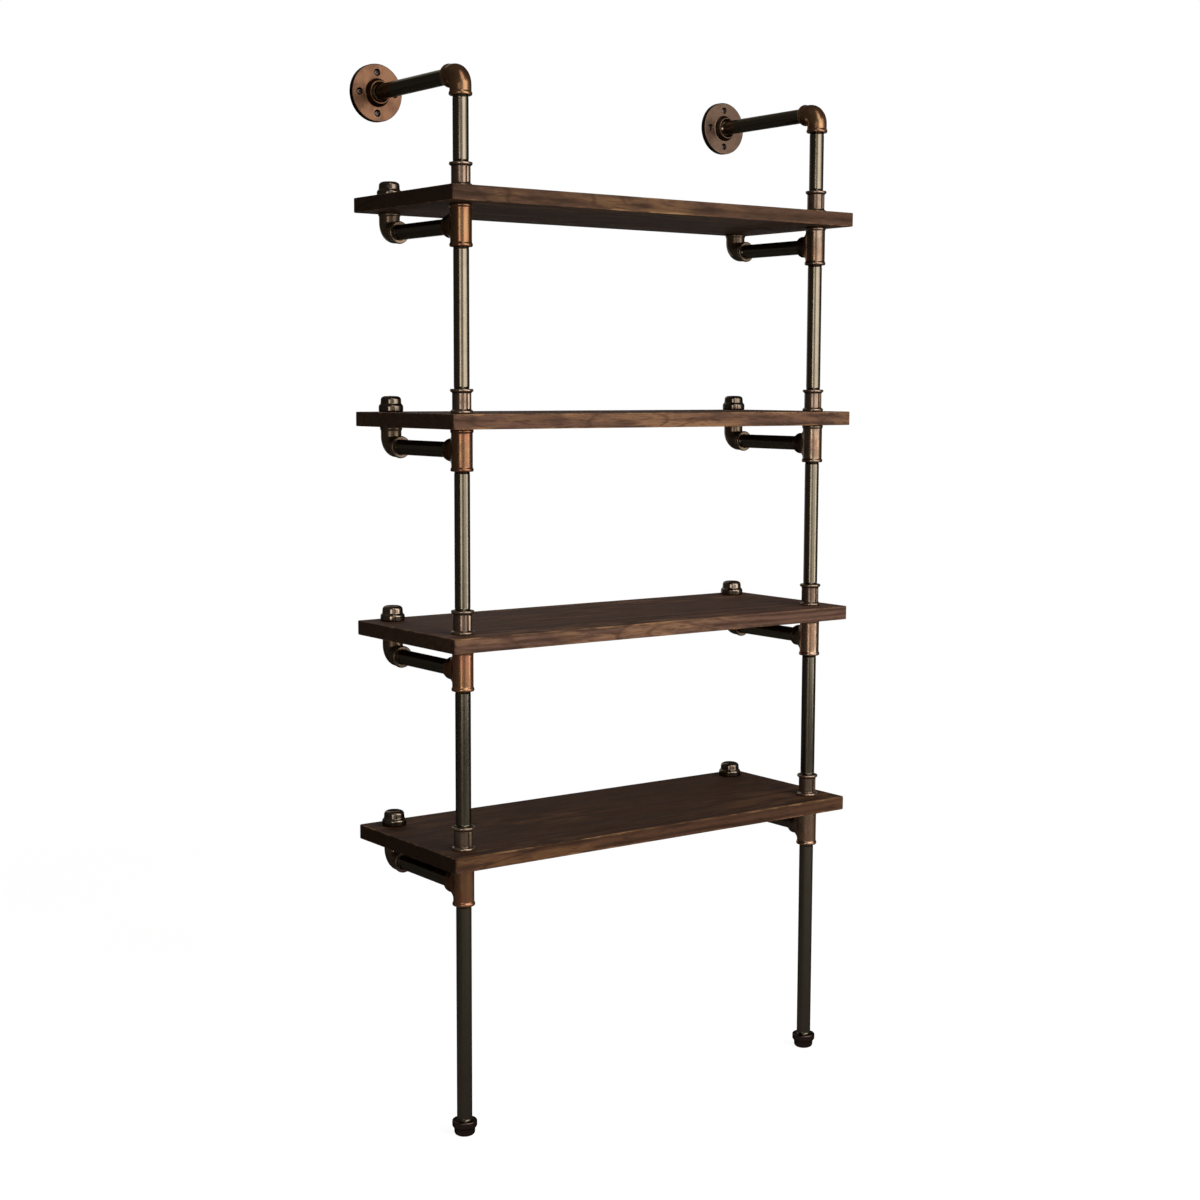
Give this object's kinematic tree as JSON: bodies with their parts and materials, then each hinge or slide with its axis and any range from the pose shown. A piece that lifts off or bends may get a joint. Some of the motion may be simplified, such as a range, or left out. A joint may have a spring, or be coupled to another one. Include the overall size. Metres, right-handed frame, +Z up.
{
  "type": "etagere bookcase",
  "caption": "Wall-fixed open bookcase: wooden shelves clamped on two pipe uprights with tees, couplings, rear support arms, capped feet and round wall flanges.",
  "frame": {"origin": "on the floor, midway between the sides and midway between the shelves' front edge and the wall", "axes": "+X to the right seen from the front, +Y to the wall, +Z up"},
  "size_m": [0.8899, 0.336, 1.856],
  "materials": {
    "shelf_wood": "dark walnut stain, worn lighter along the edges",
    "pipe_steel": "brushed, dark bronze patina",
    "fitting_copper": "antique copper plate over cast iron, darkened in the hollows",
    "cap_iron": "dark antique copper over cast iron",
    "flange_copper": "satin antique copper over cast iron"
  },
  "bodies": {
    "root": {"shelf_1": "shelf_wood", "tees_1": "fitting_copper", "couplings_1": "fitting_copper", "shelf_arms_1": "pipe_steel", "rear_elbows_1": "fitting_copper", "rear_caps_1": "cap_iron", "shelf_2": "shelf_wood", "tees_2": "fitting_copper", "couplings_2": "fitting_copper", "shelf_arms_2": "pipe_steel", "rear_elbows_2": "fitting_copper", "rear_caps_2": "cap_iron", "shelf_3": "shelf_wood", "tees_3": "fitting_copper", "couplings_3": "fitting_copper", "shelf_arms_3": "pipe_steel", "rear_elbows_3": "fitting_copper", "rear_caps_3": "cap_iron", "shelf_4": "shelf_wood", "tees_4": "fitting_copper", "couplings_4": "fitting_copper", "shelf_arms_4": "pipe_steel", "rear_elbows_4": "fitting_copper", "rear_caps_4": "cap_iron", "front_nipples": "pipe_steel", "rear_nipples": "pipe_steel", "leg_pipes": "pipe_steel", "riser_pipes_2": "pipe_steel", "riser_pipes_3": "pipe_steel", "riser_pipes_4": "pipe_steel", "top_pipes": "pipe_steel", "foot_caps": "cap_iron", "top_elbows": "fitting_copper", "wall_arms": "pipe_steel", "wall_flanges": "flange_copper"}
  },
  "joints": []
}
